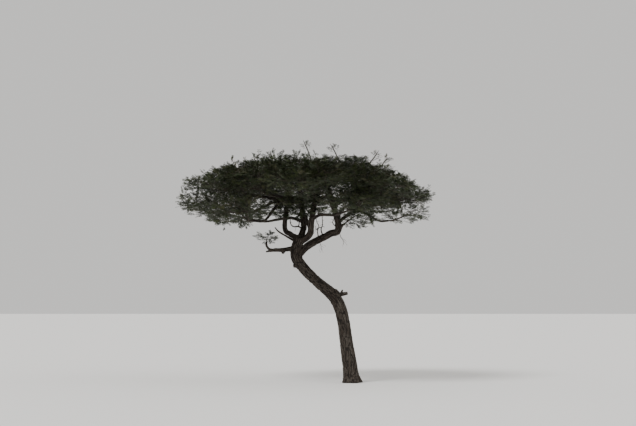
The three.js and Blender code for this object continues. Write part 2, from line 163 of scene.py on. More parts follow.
# Trunk, main boughs and bare wood
# One piece of hard living wood that leans, bends twice and forks into four boughs. A dead bough, a thin one
# and a snapped stub stick out on the left. The thick dark bark has split lengthwise into rugged plates.
TRUNK_LINE = [  # the middle of the trunk and its radius, from the ground to the fork
    ((0, 0, 0), 0.236),
    ((-0.062, 0, 0.52), 0.228),
    ((-0.165, 0.01, 1.23), 0.2),
    ((-0.255, 0.025, 1.9), 0.192),
    ((-0.4, 0.045, 2.44), 0.188),
    ((-0.655, 0.06, 2.82), 0.182),
    ((-1.09, 0.055, 3.18), 0.156),
    ((-1.49, 0.03, 3.575), 0.158),
    ((-1.75, 0, 3.95), 0.17),
    ((-1.75, -0.01, 4.27), 0.176),
    ((-1.68, 0, 4.58), 0.164),
]
TRUNK_RINGS = 21
TRUNK_SIDES, BOUGH_SIDES = 48, 20
FLARE_HEIGHT, FLARE_SPREAD, FLARE_TOES, FLARE_DEPTH = 0.42, 0.34, 5, 0.16
MAIN_BOUGHS = {
    "right": dict(leaves=0.82, bends=[(-1.36, -0.05, 4.36), (-0.7, -0.11, 4.71), (-0.42, -0.14, 4.95)],
                  radius=0.116, knee=0.1, feeds="mid_0", sector=0),
    "back": dict(leaves=0.97, bends=[(-1.57, 0.17, 4.8), (-1.54, 0.36, 5.14)],
                 radius=0.1, knee=0.09, feeds="mid_2", sector=105),
    "left": dict(leaves=0.98, bends=[(-1.95, 0.02, 4.715), (-2.14, 0.03, 5.0)],
                 radius=0.082, knee=0.072, feeds="mid_3", sector=190),
    "front": dict(leaves=0.96, bends=[(-1.34, -0.16, 4.7), (-1.27, -0.42, 5.15)],
                  radius=0.102, knee=0.09, feeds="mid_5", sector=285),
}
BARE_WOOD = {
    "dead": dict(leaves=0.9, bends=[(-2.19, -0.03, 4.21), (-2.45, -0.05, 4.205)],
                 end=[(-2.735, -0.07, 4.15)], radius=0.07, knee=0.054, tip=0.02),
    "thin": dict(leaves=0.93, bends=[(-1.99, -0.09, 4.59), (-2.32, -0.14, 4.785), (-2.45, -0.16, 4.93)],
                 radius=0.038, tip=0.013),
    "stub": dict(leaves=0.475, bends=[(-0.304, 0.02, 2.797), (-0.13, 0.01, 2.832)], radius=0.068, tip=0.046),
    "prong": dict(parent="stub", leaves=0.5, bends=[(-0.318, 0.01, 2.87), (-0.28, 0, 2.935)],
                  radius=0.032, tip=0.018),
}
BOUGH_TIP = 0.03
BOUGH_RINGS = 4
LAST_RISE = 0.26
COLLAR, COLLAR_LENGTH = 0.45, 0.1  # how a bough swells where it leaves its parent
SNAGS = [  # where small branches broke off: root, end and the radius at each
    ((-1.66, -0.01, 3.73), (-1.86, -0.02, 3.7), 0.085, 0.05),
    ((-2.17, -0.03, 4.2), (-2.2, -0.035, 4.09), 0.05, 0.032),
]
SWELLINGS = [((-0.56, 0.04, 2.765), 0.2), ((-1.91, -0.03, 4.23), 0.09)]  # round the stub and the dead bough
RING_GAP = 0.03  # between the rings that a limb is drawn out in
MEASURING_RINGS, FEWEST_RINGS = 12, 3
TANGENT_STEP = 1e-4
VOXEL = 0.01
EASING, EASING_ROUNDS = 0.5, 8  # of the crotches, where limbs meet
SAW_HEIGHT = 3.5  # the skin is parted here, inside the trunk, to keep each piece light
BARK_DEPTH = 0.02  # of the furrows on the trunk
THICK_BARK = 0.15  # radius from which a limb has the trunk's full depth of bark
PLATE_WIDTH, PLATE_LENGTH = 0.045, 0.36
PLATE_RISE = 0.006  # of the plates, above the wood as it is first drawn
PLATE_LEVEL, PLATE_GRAIN = 0.3, 0.2  # of a plate's face and its unevenness, in shares of the depth
FURROW_WIDTH, FURROW_SHAPE = 0.24, 0.8
BENDS = [((8, 2.5), 0.03), ((24, 9), 0.01)]  # waves in the furrows: how close across and along, how strong
BEND_ALONG = 6  # how much more a furrow's wave counts along the limb
GRAIN_CLOSE = (55, 16)
FLUTES, FLUTES_CLOSE, FLUTES_START = 0.012, (5, 0.9), 3  # the trunk's long swellings
LIMB_GAP = 10.0  # between one limb and the next in the bark's pattern
GROUND_SNAP = 0.004  # points lower than this are set level with the ground
NOISE_SEED = 20  # of the waves that bend furrows and twigs


def curve_point(points, share):
    spans = len(points) - 1
    place = min(share * spans, spans - 1e-9)
    i = int(place)
    t = place - i
    before = points[i - 1] if i else 2 * points[0] - points[1]
    after = points[i + 2] if i + 2 <= spans else 2 * points[-1] - points[-2]
    leave, arrive = 0.5 * (points[i + 1] - before), 0.5 * (after - points[i])
    return (
        (2 * t**3 - 3 * t**2 + 1) * points[i]
        + (t**3 - 2 * t**2 + t) * leave
        + (3 * t**2 - 2 * t**3) * points[i + 1]
        + (t**3 - t**2) * arrive
    )


def rail_of(stations, rings):
    """A limb's middle line, sampled evenly, with radii and a sideways direction that never twists."""
    points = [np.array(at, dtype=float) for at, _ in stations]
    radii = [radius for _, radius in stations]
    side = np.array((0.0, 1.0, 0.0))
    rail = []
    for ring in range(rings + 1):
        share = ring / rings
        ahead, behind = min(1, share + TANGENT_STEP), max(0, share - TANGENT_STEP)
        along = unit(curve_point(points, ahead) - curve_point(points, behind))
        side = unit(side - (side @ along) * along)
        radius = np.interp(share * (len(points) - 1), range(len(points)), radii)
        rail.append(dict(at=curve_point(points, share), along=along, side=side, radius=float(radius)))
    return rail


limbs = {}


def add_limb(name, stations, rings):
    limbs[name] = dict(stations=stations, rail=rail_of(stations, rings))
    return limbs[name]["rail"]


def place_on(name, share):
    rail = limbs[name]["rail"]
    return rail[math.floor(share * (len(rail) - 1) + 0.5)]


def bough_path(spec, end=()):
    end = end or spec.get("end", ())
    path = [place_on(spec.get("parent", "trunk"), spec["leaves"])["at"], *spec["bends"], *end]
    tip = spec.get("tip", BOUGH_TIP)
    bends = len(spec["bends"])
    places = (0, bends, bends + max(1, len(end)))
    radii = np.interp(range(len(path)), places, (spec["radius"], spec.get("knee", tip), tip))
    return list(zip(path, radii.tolist()))


def fine_rail(stations, collar=True):
    """The same limb in close rings, with a collar where it grows out of its parent."""
    coarse = rail_of(stations, MEASURING_RINGS)
    length = sum(np.linalg.norm(b["at"] - a["at"]) for a, b in zip(coarse, coarse[1:]))
    rail = rail_of(stations, max(FEWEST_RINGS, round(length / RING_GAP)))
    run = 0.0
    for i, ring in enumerate(rail):
        run += np.linalg.norm(ring["at"] - rail[i - 1]["at"]) if i else 0.0
        ring["run"] = run
        if collar:
            ring["radius"] *= 1 + COLLAR * math.exp(-((run / COLLAR_LENGTH) ** 2))
    return rail


def ring_place(ring):
    axes = np.column_stack((ring["side"], np.cross(ring["along"], ring["side"]), ring["along"]))
    turned = Matrix(axes.tolist()).to_4x4()
    return Matrix.Translation(Vector(ring["at"])) @ turned @ Matrix.Scale(ring["radius"], 4)


def draw_limb(bm, rail, sides):
    """A circle that is drawn out, ring after ring, along the limb and closed at its end."""
    made = bmesh.ops.create_circle(bm, cap_ends=True, radius=1, segments=sides, matrix=ring_place(rail[0]))
    edges = list(dict.fromkeys(edge for vert in made["verts"] for edge in vert.link_edges))
    for last, ring in zip(rail, rail[1:]):
        grown = bmesh.ops.extrude_edge_only(bm, edges=edges)["geom"]
        verts = [part for part in grown if isinstance(part, bmesh.types.BMVert)]
        edges = [part for part in grown if isinstance(part, bmesh.types.BMEdge) and part.is_boundary]
        bmesh.ops.transform(bm, matrix=ring_place(ring) @ ring_place(last).inverted(), verts=verts)
    bmesh.ops.holes_fill(bm, edges=edges, sides=sides)


def widen_foot(bm, rail):
    """The trunk's foot spreads in rounded toes and ends in a level cut."""
    for vert in bm.verts:
        if vert.co.z > FLARE_HEIGHT:
            continue
        middle = min(rail, key=lambda ring: abs(ring["at"][2] - vert.co.z))["at"]
        across = vert.co - Vector((middle[0], middle[1], vert.co.z))
        toes = FLARE_DEPTH * math.cos(FLARE_TOES * math.atan2(across.y, across.x))
        near = 1 - max(vert.co.z, 0) / FLARE_HEIGHT
        vert.co += across * near**2 * (FLARE_SPREAD + toes)
        vert.co.z = 0 if vert.co.z < RING_GAP / 2 else vert.co.z


def object_from(bm, name):
    bmesh.ops.recalc_face_normals(bm, faces=bm.faces)
    mesh = bpy.data.meshes.new(name)
    bm.to_mesh(mesh)
    bm.free()
    return new_object(name, mesh)


def new_object(name, mesh):
    piece = bpy.data.objects.new(name, mesh)
    bpy.context.collection.objects.link(piece)
    return piece


def grow_together(piece, voxel, rounds):
    """Merges overlapping limbs into one skin of even faces and eases the crotches."""
    remesh = piece.modifiers.new("one skin", "REMESH")
    remesh.mode = "VOXEL"
    remesh.voxel_size = voxel
    remesh.use_smooth_shade = True
    smooth = piece.modifiers.new("eased", "SMOOTH")
    smooth.factor = EASING
    smooth.iterations = rounds
    skin = bpy.data.meshes.new_from_object(piece.evaluated_get(bpy.context.evaluated_depsgraph_get()))
    piece.modifiers.clear()
    piece.data = skin


POINTS_AT_ONCE = 4000


def limb_places(co, rails):
    """Each point's place on its limb: two distances across it and one along it, with the limb's radius."""
    rings = [dict(ring, start=LIMB_GAP * i) for i, rail in enumerate(rails) for ring in rail]
    at, along, side = (np.array([ring[key] for ring in rings]) for key in ("at", "along", "side"))
    radius = np.array([ring["radius"] for ring in rings])
    run = np.array([ring["run"] + ring["start"] for ring in rings])
    nearest = []
    for part in np.array_split(co, 1 + len(co) // POINTS_AT_ONCE):
        far = np.linalg.norm(part[:, None] - at[None], axis=2) - radius
        nearest.append(far.argmin(axis=1))
    nearest = np.concatenate(nearest)
    off = co - at[nearest]
    over = np.cross(along, side)
    columns = (
        (off * side[nearest]).sum(axis=1),
        (off * over[nearest]).sum(axis=1),
        (off * along[nearest]).sum(axis=1) + run[nearest],
    )
    return np.column_stack(columns), radius[nearest]


def bark_relief(x, y, run):
    """How deep in a furrow a place lies, from 0 to 1, how rough the plate is, and the swelling under it."""
    wave = Vector()
    for (across, along), strength in BENDS:
        wave += noise.noise_vector((x * across, y * across, run * along)) * strength
    bent_run = run + BEND_ALONG * wave.z
    cell = ((x + wave.x) / PLATE_WIDTH, (y + wave.y) / PLATE_WIDTH, bent_run / PLATE_LENGTH)
    near, next_near = noise.voronoi(cell)[0][:2]
    furrow = max(0.0, 1 - (next_near - near) / FURROW_WIDTH)
    across, along = GRAIN_CLOSE
    grain = noise.noise((x * across, y * across, run * along))
    across, along = FLUTES_CLOSE
    return furrow, grain, noise.noise((x * across, y * across, run * along + FLUTES_START))


def roughen_bark(piece, rails, depth):
    """Sinks the furrows between the plates, and keeps each point's place on its limb for the finish."""
    mesh = piece.data
    co = np.empty(len(mesh.vertices) * 3)
    mesh.vertices.foreach_get("co", co)
    co = co.reshape(-1, 3)
    normals = np.empty(len(mesh.vertices) * 3, dtype=np.float32)
    mesh.vertex_normals.foreach_get("vector", normals)
    places, radius = limb_places(co, rails)
    furrow, grain, flutes = np.array([bark_relief(x, y, run) for x, y, run in places.tolist()]).T
    thick = np.minimum(1, radius / THICK_BARK)
    relief = PLATE_LEVEL + PLATE_GRAIN * grain - furrow**FURROW_SHAPE
    lift = PLATE_RISE + depth * thick * relief + FLUTES * thick**2 * flutes
    co += normals.reshape(-1, 3) * lift[:, None]
    co[co[:, 2] < GROUND_SNAP, 2] = 0.0
    mesh.vertices.foreach_set("co", co.ravel())
    mesh.attributes.new("place_on_limb", "FLOAT_VECTOR", "POINT").data.foreach_set("vector", places.ravel())
    mesh.attributes.new("furrow", "FLOAT", "POINT").data.foreach_set("value", furrow)
    mesh.update()


SHINE = 0.3  # of bark, leaves and floor alike


def new_finish(name, color, roughness):
    material = bpy.data.materials.new(name)
    material.use_nodes = True
    shader = material.node_tree.nodes["Principled BSDF"]
    shader.inputs["Base Color"].default_value = (*color, 1)
    shader.inputs["Roughness"].default_value = roughness
    shader.inputs["Specular IOR Level"].default_value = SHINE
    return material, shader


def add_node(material, kind, settings=(), values=()):
    node = material.node_tree.nodes.new(kind)
    for key, value in dict(settings).items():
        setattr(node, key, value)
    for key, value in dict(values).items():
        node.inputs[key].default_value = value
    return node


def color_steps(material, source, steps):
    ramp = add_node(material, "ShaderNodeValToRGB")
    for element, (place, color) in zip(ramp.color_ramp.elements, steps):
        element.position = place
        element.color = (*color, 1)
    material.node_tree.links.new(source, ramp.inputs["Fac"])
    return ramp.outputs["Color"]


def blend_colors(material, mode, factor, first, second):
    """Lays the second colour over the first. Each of the three values is a plain one or a node's output."""
    blend = add_node(material, "ShaderNodeMix", dict(data_type="RGBA", blend_type=mode))
    for value, number in ((factor, 0), (first, 6), (second, 7)):
        if isinstance(value, bpy.types.NodeSocket):
            material.node_tree.links.new(value, blend.inputs[number])
        else:
            blend.inputs[number].default_value = (*value, 1) if number else value
    return blend.outputs[2]


def bump(material, height, strength, distance, below=None):
    node = add_node(material, "ShaderNodeBump", values=dict(Strength=strength, Distance=distance))
    material.node_tree.links.new(height, node.inputs["Height"])
    if below:
        material.node_tree.links.new(below, node.inputs["Normal"])
    return node.outputs["Normal"]


def texture_on(material, kind, vector, scale, values=(), settings=()):
    """A pattern stretched along the grain: the scale is across, across and along the limb."""
    mapping = add_node(material, "ShaderNodeMapping", values=dict(Scale=scale))
    material.node_tree.links.new(vector, mapping.inputs["Vector"])
    node = add_node(material, kind, settings, dict(values, Scale=1.0))
    material.node_tree.links.new(mapping.outputs["Vector"], node.inputs["Vector"])
    return node


PLATE_BROWN, PLATE_GREY = (0.05, 0.038, 0.03), (0.098, 0.088, 0.076)
# colour of the furrows: partly their own darker bark and partly painted shade
FURROW_DARK_AND_SHADE = (0.011, 0.008, 0.006)
BLACK, WHITE = (0, 0, 0), (1, 1, 1)
PLATE_STEPS = [(0.36, PLATE_BROWN), (0.64, PLATE_GREY)]
STREAK_STEPS = [(0.32, (0.5, 0.47, 0.44)), (0.7, (1.25, 1.22, 1.18))]
CRACK_STEPS = [(0.02, (0.3, 0.27, 0.25)), (0.16, WHITE)]
FURROW_STEPS = [(0.15, BLACK), (0.62, WHITE)]
STREAKS, PATCHES, CRACKS = (70, 70, 11), (7, 7, 3), (48, 48, 21)  # how close, across and along the limb
STREAK_GRAIN, PATCH_GRAIN = dict(Detail=7.0, Roughness=0.65), dict(Detail=4.0, Roughness=0.6)
CRACK_SHARE = 0.8  # how much the cracks darken the plates
CRACK_BUMP, GRAIN_BUMP = (0.7, 0.006), (1.0, 0.007)  # strength and depth
BARK_ROUGHNESS = 0.93


def bark_finish(name):
    """Weathered grey-brown plates over nearly black furrows, whose darkness is partly their own bark and
    partly painted shade, with fine cracks across the grain.
    """
    bark, shader = new_finish(name, PLATE_BROWN, BARK_ROUGHNESS)
    place = add_node(bark, "ShaderNodeAttribute", dict(attribute_name="place_on_limb")).outputs["Vector"]
    depth = add_node(bark, "ShaderNodeAttribute", dict(attribute_name="furrow")).outputs["Fac"]
    grain = texture_on(bark, "ShaderNodeTexNoise", place, STREAKS, STREAK_GRAIN)
    patches = texture_on(bark, "ShaderNodeTexNoise", place, PATCHES, PATCH_GRAIN)
    to_edge = dict(feature="DISTANCE_TO_EDGE")
    cracks = texture_on(bark, "ShaderNodeTexVoronoi", place, CRACKS, settings=to_edge)
    weathered = color_steps(bark, patches.outputs["Fac"], PLATE_STEPS)
    streaks = color_steps(bark, grain.outputs["Fac"], STREAK_STEPS)
    streaked = blend_colors(bark, "MULTIPLY", 1.0, weathered, streaks)
    cracked = color_steps(bark, cracks.outputs["Distance"], CRACK_STEPS)
    plates = blend_colors(bark, "MULTIPLY", CRACK_SHARE, streaked, cracked)
    # painted shade: the deeper a place lies in a furrow, the nearer to black its bark is painted, on top of
    # the furrow's own darker colour
    furrow_bark_and_shade = color_steps(bark, depth, FURROW_STEPS)
    link = bark.node_tree.links.new
    link(blend_colors(bark, "MIX", furrow_bark_and_shade, plates, FURROW_DARK_AND_SHADE), shader.inputs["Base Color"])
    cracks_bump = bump(bark, cracked, *CRACK_BUMP)
    link(bump(bark, grain.outputs["Fac"], *GRAIN_BUMP, cracks_bump), shader.inputs["Normal"])
    return bark


def cut_off(piece, name, height, keep_above):
    """A copy of one side of a level saw cut, closed where it was cut."""
    bm = bmesh.new()
    bm.from_mesh(piece.data)
    everything = bm.verts[:] + bm.edges[:] + bm.faces[:]
    away = dict(clear_inner=keep_above, clear_outer=not keep_above)
    cut = bmesh.ops.bisect_plane(bm, geom=everything, plane_co=(0, 0, height), plane_no=(0, 0, 1), **away)
    rim = [part for part in cut["geom_cut"] if isinstance(part, bmesh.types.BMEdge)]
    bmesh.ops.holes_fill(bm, edges=rim, sides=0)
    mesh = bpy.data.meshes.new(name)
    bm.to_mesh(mesh)
    bm.free()
    return new_object(name, mesh)


noise.seed_set(NOISE_SEED)
add_limb("trunk", TRUNK_LINE, TRUNK_RINGS)
for name, spec in MAIN_BOUGHS.items():
    pad = pad_named[spec["feeds"]]
    below = pad["entry"] - pad["heading"] * LAST_RISE
    rail = add_limb(name, bough_path(spec, [below, pad["entry"]]), 2 * BOUGH_RINGS)
    pad["heading"] = rail[-1]["along"]
    pad["fed"] = True
for name, spec in BARE_WOOD.items():
    add_limb(name, bough_path(spec), BOUGH_RINGS)

trunk_rails = [fine_rail(limb["stations"], collar=name != "trunk") for name, limb in limbs.items()]
trunk_rails += [fine_rail([(root, wide), (end, narrow)]) for root, end, wide, narrow in SNAGS]
bm = bmesh.new()
draw_limb(bm, trunk_rails[0], TRUNK_SIDES)
widen_foot(bm, trunk_rails[0])
for rail in trunk_rails[1:]:
    draw_limb(bm, rail, BOUGH_SIDES)
for at, radius in SWELLINGS:
    bmesh.ops.create_icosphere(bm, subdivisions=3, radius=radius, matrix=Matrix.Translation(at))
whole = object_from(bm, "wood_before_it_is_parted")
grow_together(whole, VOXEL, EASING_ROUNDS)
roughen_bark(whole, trunk_rails, BARK_DEPTH)
furrowed_bark = bark_finish("furrowed_bark")
for piece_name, keep_above in (("trunk_bark", False), ("fork_and_main_boughs", True)):
    piece = cut_off(whole, piece_name, SAW_HEIGHT, keep_above)
    piece.data.materials.append(furrowed_bark)
    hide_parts("trunk", *(f"bough_{name}" for name in limbs if name != "trunk"))
    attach(piece, "root")
bpy.data.objects.remove(whole)


# Side boughs
# Each pad of leaf that no main bough reaches has a side bough, which swings out level and comes up under it.
# Their bark is thinner and smoother than the trunk's.
SIDE_RADIUS, SIDE_SHARE = 0.05, 0.8  # at its root: the most, and beside its parent's
SIDE_SPREAD, SIDE_HANDLE = 0.6, 0.38  # how far it turns away where it leaves, and how slowly it bends
SIDE_SIDES = 14
SIDE_VOXEL, SIDE_EASING_ROUNDS = 0.013, 3


def nearest_main(azimuth):
    apart = {name: abs((azimuth - spec["sector"] + 540) % 360 - 180) for name, spec in MAIN_BOUGHS.items()}
    return min(apart, key=apart.get)


def side_path(parent, pad):
    away = pad["entry"] - parent["at"]
    handle = SIDE_HANDLE * np.linalg.norm(away)
    level = unit(away * (1, 1, 0))
    leave = unit(parent["along"] + (level - parent["along"]) * SIDE_SPREAD)
    arrive = pad["entry"] - pad["heading"] * handle
    corners = (parent["at"], parent["at"] + leave * handle, arrive, pad["entry"])
    radius = min(SIDE_RADIUS, SIDE_SHARE * parent["radius"])
    path = []
    for i in range(BOUGH_RINGS + 1):
        t = i / BOUGH_RINGS
        weights = ((1 - t) ** 3, 3 * t * (1 - t) ** 2, 3 * t**2 * (1 - t), t**3)
        place = sum(weight * corner for weight, corner in zip(weights, corners))
        path.append((place, radius + (BOUGH_TIP - radius) * t))
    return path


side_names = []
for pad in pads:
    if pad.get("fed"):
        continue
    parent = pad.get("parent") or nearest_main(pad["azimuth"])
    rail = add_limb(pad["name"], side_path(place_on(parent, pad["share"]), pad), BOUGH_RINGS)
    pad["heading"] = rail[-1]["along"]
    side_names.append(pad["name"])

side_rails = [fine_rail(limbs[name]["stations"]) for name in side_names]
bm = bmesh.new()
for rail in side_rails:
    draw_limb(bm, rail, SIDE_SIDES)
side_boughs = object_from(bm, "side_boughs")
grow_together(side_boughs, SIDE_VOXEL, SIDE_EASING_ROUNDS)
roughen_bark(side_boughs, side_rails, BARK_DEPTH)
side_boughs.data.materials.append(bark_finish("bough_bark"))
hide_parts(*(f"bough_{name}" for name in side_names))
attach(side_boughs, "root")


# Twigs
# Inside each pad the wood forks again and again from one stem: a new twig springs from the older one that
# reaches its place most easily. Long shoots stand out of the top, and dry twigs hang and loop near the fork.
SEED, SEED_STEP = 20, 7919
RANDOM_FACTOR, RANDOM_STEP, RANDOM_RANGE = 1664525, 1013904223, 2**32
CLEARANCE = 0.0003
STEM_SHARE = 0.35
TURN_COST = 0.55
PATH_COST = 0.28
FIRST_HOLD, FINE_HOLD = 0.15, 0.05  # steps along a twig that new ones may spring from
FIRST_TWIGS = dict(candidates=20, spread=0.66, inset=0.09, room=0.06)
FINE_TWIGS = dict(candidates=7, spread=1.0, inset=0.03, room=0.02)
FINE_PER_CUBIC_METRE = 150
THIN_TO = 0.385  # share of a pad's height up to which its twigs are thinned out, if they are
DOME = np.array([  # distance from the crown's axis, and the height of the leaf there on its left and right
    (0.0, 7.14, 7.14), (1.0, 7.07, 6.95), (1.6, 7.08, 6.94), (2.0, 6.93, 6.98), (2.5, 6.84, 6.88),
    (2.8, 6.72, 6.76), (3.1, 6.58, 6.5), (3.4, 6.53, 6.12), (3.65, 6.43, 6.08), (3.85, 6.43, 6.12),
    (4.06, 6.12, 5.9),
])
DOME_MARGIN, RIM_MARGIN = 0.07, 0.07  # how far under the dome, and past the crown's radius, a twig may end
LUMPS = [(0.5, 0.3), (0.22, 0.16)]  # the size of the lumps of leaf, and how much each size counts
LUMP_LIMIT, LUMP_RISE = -0.1, 0.09  # what a lump has to count in the middle of a pad, and more at its surface
SPRIGS, SPRIG_DEPTH = 0.42, 0.72  # share of the twigs near their pad's surface that carry a sprig outwards
SPRIG_LENGTH = (0.12, 0.34)
SPRIG_RISE, SPRIG_ROOM = 0.4, 0.14  # how much it turns up, and how far it may stand out of the dome
HANGING_SPRIG = 0.4  # length of one that points down, beside the others
SHOOTS = [  # the pad that each grows in, and its tip
    ("top", (-1.552, 0, 7.78)),
    ("mid_5", (-0.7, -1.4, 7.43)),
    ("mid_0", (0.91, 0, 7.42)),
    ("mid_0", (1.16, -0.1, 7.2)),
    ("mid_3", (-2.62, 0, 7.42)),
    ("mid_3", (-2.92, 0.1, 7.34)),
    ("rim_4", (-3.76, 0, 7.1)),
]
SHOOT_TURN_COST = 0.1  # what a sharp turn costs a shoot, beside its length
SHOOT_SIDES = [  # place and length of the short twigs along a shoot
    (0.3, 0.27), (0.38, 0.25), (0.46, 0.22), (0.54, 0.18), (0.62, 0.13), (0.7, 0.08), (0.8, 0.06),
    (0.9, 0.04),
]
SHOOT_BARE = 0.66  # place on a shoot above which its twigs bear no leaf
SHOOT_LOAD, BARE_LOAD = 60, 5  # twigs that a shoot, and a bare one on it, is as thick as if it carried
SHOOT_STOUT = 0.75  # place on a shoot up to which it is that thick
SHOOT_ALONG = (1.6, 1.2)  # how much its side twigs keep its direction: the least, and the range above it
SHOOT_TWIST = 0.3
# Radius and bends of the dry twigs that hang from the right bough, stand up from it and loop to the left one
DRY_TWIGS = [
    (0.01, [(-1.02, -0.09, 4.52), (-1.0, -0.12, 4.4), (-0.97, -0.14, 4.3), (-0.95, -0.13, 4.19)]),
    (0.012, [(-0.4, -0.13, 4.82), (-0.34, -0.16, 4.6), (-0.27, -0.18, 4.52), (-0.255, -0.17, 4.38)]),
    (0.026, [(-0.91, -0.1, 4.64), (-0.975, -0.12, 4.86), (-0.925, -0.14, 5.02), (-0.95, -0.2, 5.35)]),
    (0.02, [(-1.05, -0.1, 4.58), (-1.09, -0.16, 4.8), (-1.04, -0.2, 4.95), (-1.13, -0.2, 5.16),
            (-1.05, -0.2, 5.4)]),
    (0.018, [(-0.46, -0.15, 4.9), (-0.6, -0.2, 5.06), (-0.57, -0.2, 5.19), (-0.52, -0.25, 5.34)]),
    (0.016, [(-0.95, -0.12, 4.9), (-1.04, -0.1, 4.93), (-1.13, -0.12, 4.85), (-1.16, -0.2, 4.97)]),
    (0.032, [(-1.54, 0.24, 4.88), (-1.7, 0.2, 4.98), (-1.86, 0.16, 4.97), (-1.96, 0.16, 5.08),
             (-1.97, 0.2, 5.3)]),
    (0.022, [(-1.7, 0.2, 4.98), (-1.68, 0.18, 5.1), (-1.73, 0.16, 5.22), (-1.7, 0.1, 5.4)]),
]
DRY_LENGTHS, DRY_SIDES = 9, 5
DRY_TIP = 0.35  # radius at a dry twig's end, beside that at its root
DRY_SIDE, DRY_SIDE_RADIUS = 0.12, 0.3  # length of the short ones along it, and their radius beside its own
DRY_SPREAD, DRY_SAG = 2.4, 0.5
TWIG_TIP = 0.0026
TWIG_POWER = 0.46
THICKEST_TWIG = 0.027
WANDER, WANDER_SIZE = 0.035, 0.45
WANDER_FADE = 0.5  # distance from a pad's entry within which its twigs are bent less
PAD_SHARE = 0.8  # of the box round a pad that the pad fills
TUBE_SIDEWAYS = (0.31, 0.12, 0.94)  # a direction that hardly any twig has
LEAFY_LOAD = 6  # a twig that carries more twigs than this bears no leaf
FIRST_TUBE, STOUT_TUBE, LEAFY_TUBE, LAST_TUBE = (6, 6), (4, 4), (2, 3), (1, 3)  # lengths and sides
TUBE_POINT = 2  # length of a tube's pointed end, beside its radius there
TWIG_DARK = (0.028, 0.022, 0.017)
TWIG_STEPS = [(0.3, TWIG_DARK), (0.7, (0.062, 0.051, 0.04))]
TWIG_ROUGHNESS, TWIG_BLOTCHES, TWIG_BUMP = 0.88, (60, 60, 60), (0.4, 0.002)


def seeded(seed):
    state = seed

    def draw():
        nonlocal state
        state = (state * RANDOM_FACTOR + RANDOM_STEP) % RANDOM_RANGE
        return state / RANDOM_RANGE

    return draw


limb_at = np.array([ring["at"] for limb in limbs.values() for ring in limb["rail"]])
limb_radius = np.array([ring["radius"] for limb in limbs.values() for ring in limb["rail"]])


def clear_of_limbs(places, room):
    far = np.linalg.norm(places[:, None] - limb_at[None], axis=2)
    return (far > limb_radius + room).all(axis=1)


def dome_height(place):
    out = place - CROWN_AXIS
    far = math.hypot(out[0], out[1])
    to_right = 0.5 + 0.5 * out[0] / max(far, 1e-6)
    left, right = (np.interp(far, DOME[:, 0], DOME[:, side]) for side in (1, 2))
    return left + (right - left) * to_right


def pad_depth(pad, place):
    """How far out a place lies in its pad: 0 in the middle and 1 at the surface."""
    off = place - pad["at"]
    tall = pad["rise"] if off[2] > 0 else pad["drop"]
    level = math.hypot(off[0], off[1]) / pad["reach"]
    return (level**ROUNDNESS + abs(off[2] / tall) ** ROUNDNESS) ** (1 / ROUNDNESS)


def height_in(pad, place):
    """How high a place lies in its pad: 0 at the bottom and 1 at the top."""
    return (place[2] - pad["at"][2] + pad["drop"]) / (pad["rise"] + pad["drop"])


def in_clump(pad, place, draw):
    """Twigs stand in lumps that show at the crown's surface, and thin out at the bottom of some pads."""
    lump = sum(share * noise.noise(Vector(place) / size) for size, share in LUMPS)
    kept = pad.get("below", 1)
    if draw() > kept + (1 - kept) * min(1, height_in(pad, place) / pad.get("thin_to", THIN_TO)):
        return False
    under_dome = place[2] < dome_height(place) - DOME_MARGIN + lump
    in_rim = math.hypot(*(place - CROWN_AXIS)[:2]) < CROWN_RADIUS + RIM_MARGIN
    return under_dome and in_rim and lump > LUMP_LIMIT + LUMP_RISE * pad_depth(pad, place)


def scatter(pad, draw, found, count, candidates, spread, inset, room, clumps=False):
    """Evenly scattered places in a pad: each is the loneliest of a few candidates."""
    added = []
    for _ in range(count):
        raw = np.array([draw() for _ in range(3 * candidates)]).reshape(-1, 3) * 2 - 1
        wide = np.full(candidates, pad["reach"])
        off = raw * np.column_stack((wide, wide, np.where(raw[:, 2] > 0, pad["rise"], pad["drop"])))
        places = pad["at"] + off
        outer = pad["at"] + off / (spread, spread, 1)
        fit = inside_pad(pad, outer, 0) & inside_space(pad, places, inset) & clear_of_limbs(places, room)
        if clumps:
            fit &= np.array([ok and in_clump(pad, place, draw) for ok, place in zip(fit, places)])
        if not fit.any():
            continue
        places = places[fit]
        gaps = np.linalg.norm((places[:, None] - np.array(found)[None]) * STRETCH, axis=2).min(axis=1)
        found.append(places[gaps.argmax()])
        added.append(found[-1])
    return added


def new_twig(twigs, start, end, parent, share, path, kind):
    along = end - start
    length = np.linalg.norm(along)
    twigs.append(dict(start=start, end=end, along=along / length, length=length, parent=parent, share=share,
                      path=path, kind=kind, load=1, children=[]))
    return twigs[-1]


def holds_on(twig, number, step):
    steps = max(2, math.floor(twig["length"] / step + 0.5))
    first = steps - 1 if number == 0 else 1
    shares = np.arange(first, steps) / steps
    rows = np.empty((len(shares), 9))
    rows[:, :3] = twig["start"] + shares[:, None] * (twig["end"] - twig["start"])
    rows[:, 3:6] = twig["along"]
    rows[:, 6] = twig["path"] + shares * twig["length"]
    rows[:, 7] = number
    rows[:, 8] = shares
    return rows


def join_twig(twigs, holds, place, kind, cost_of_turn=TURN_COST):
    way = place - holds[:, :3]
    length = np.linalg.norm(way, axis=1)
    turn = 1 - (way * holds[:, 3:6]).sum(axis=1) / length
    best = holds[(length * (1 + cost_of_turn * turn) + PATH_COST * holds[:, 6]).argmin()]
    return new_twig(twigs, best[:3].copy(), place, int(best[7]), best[8], best[6], kind)


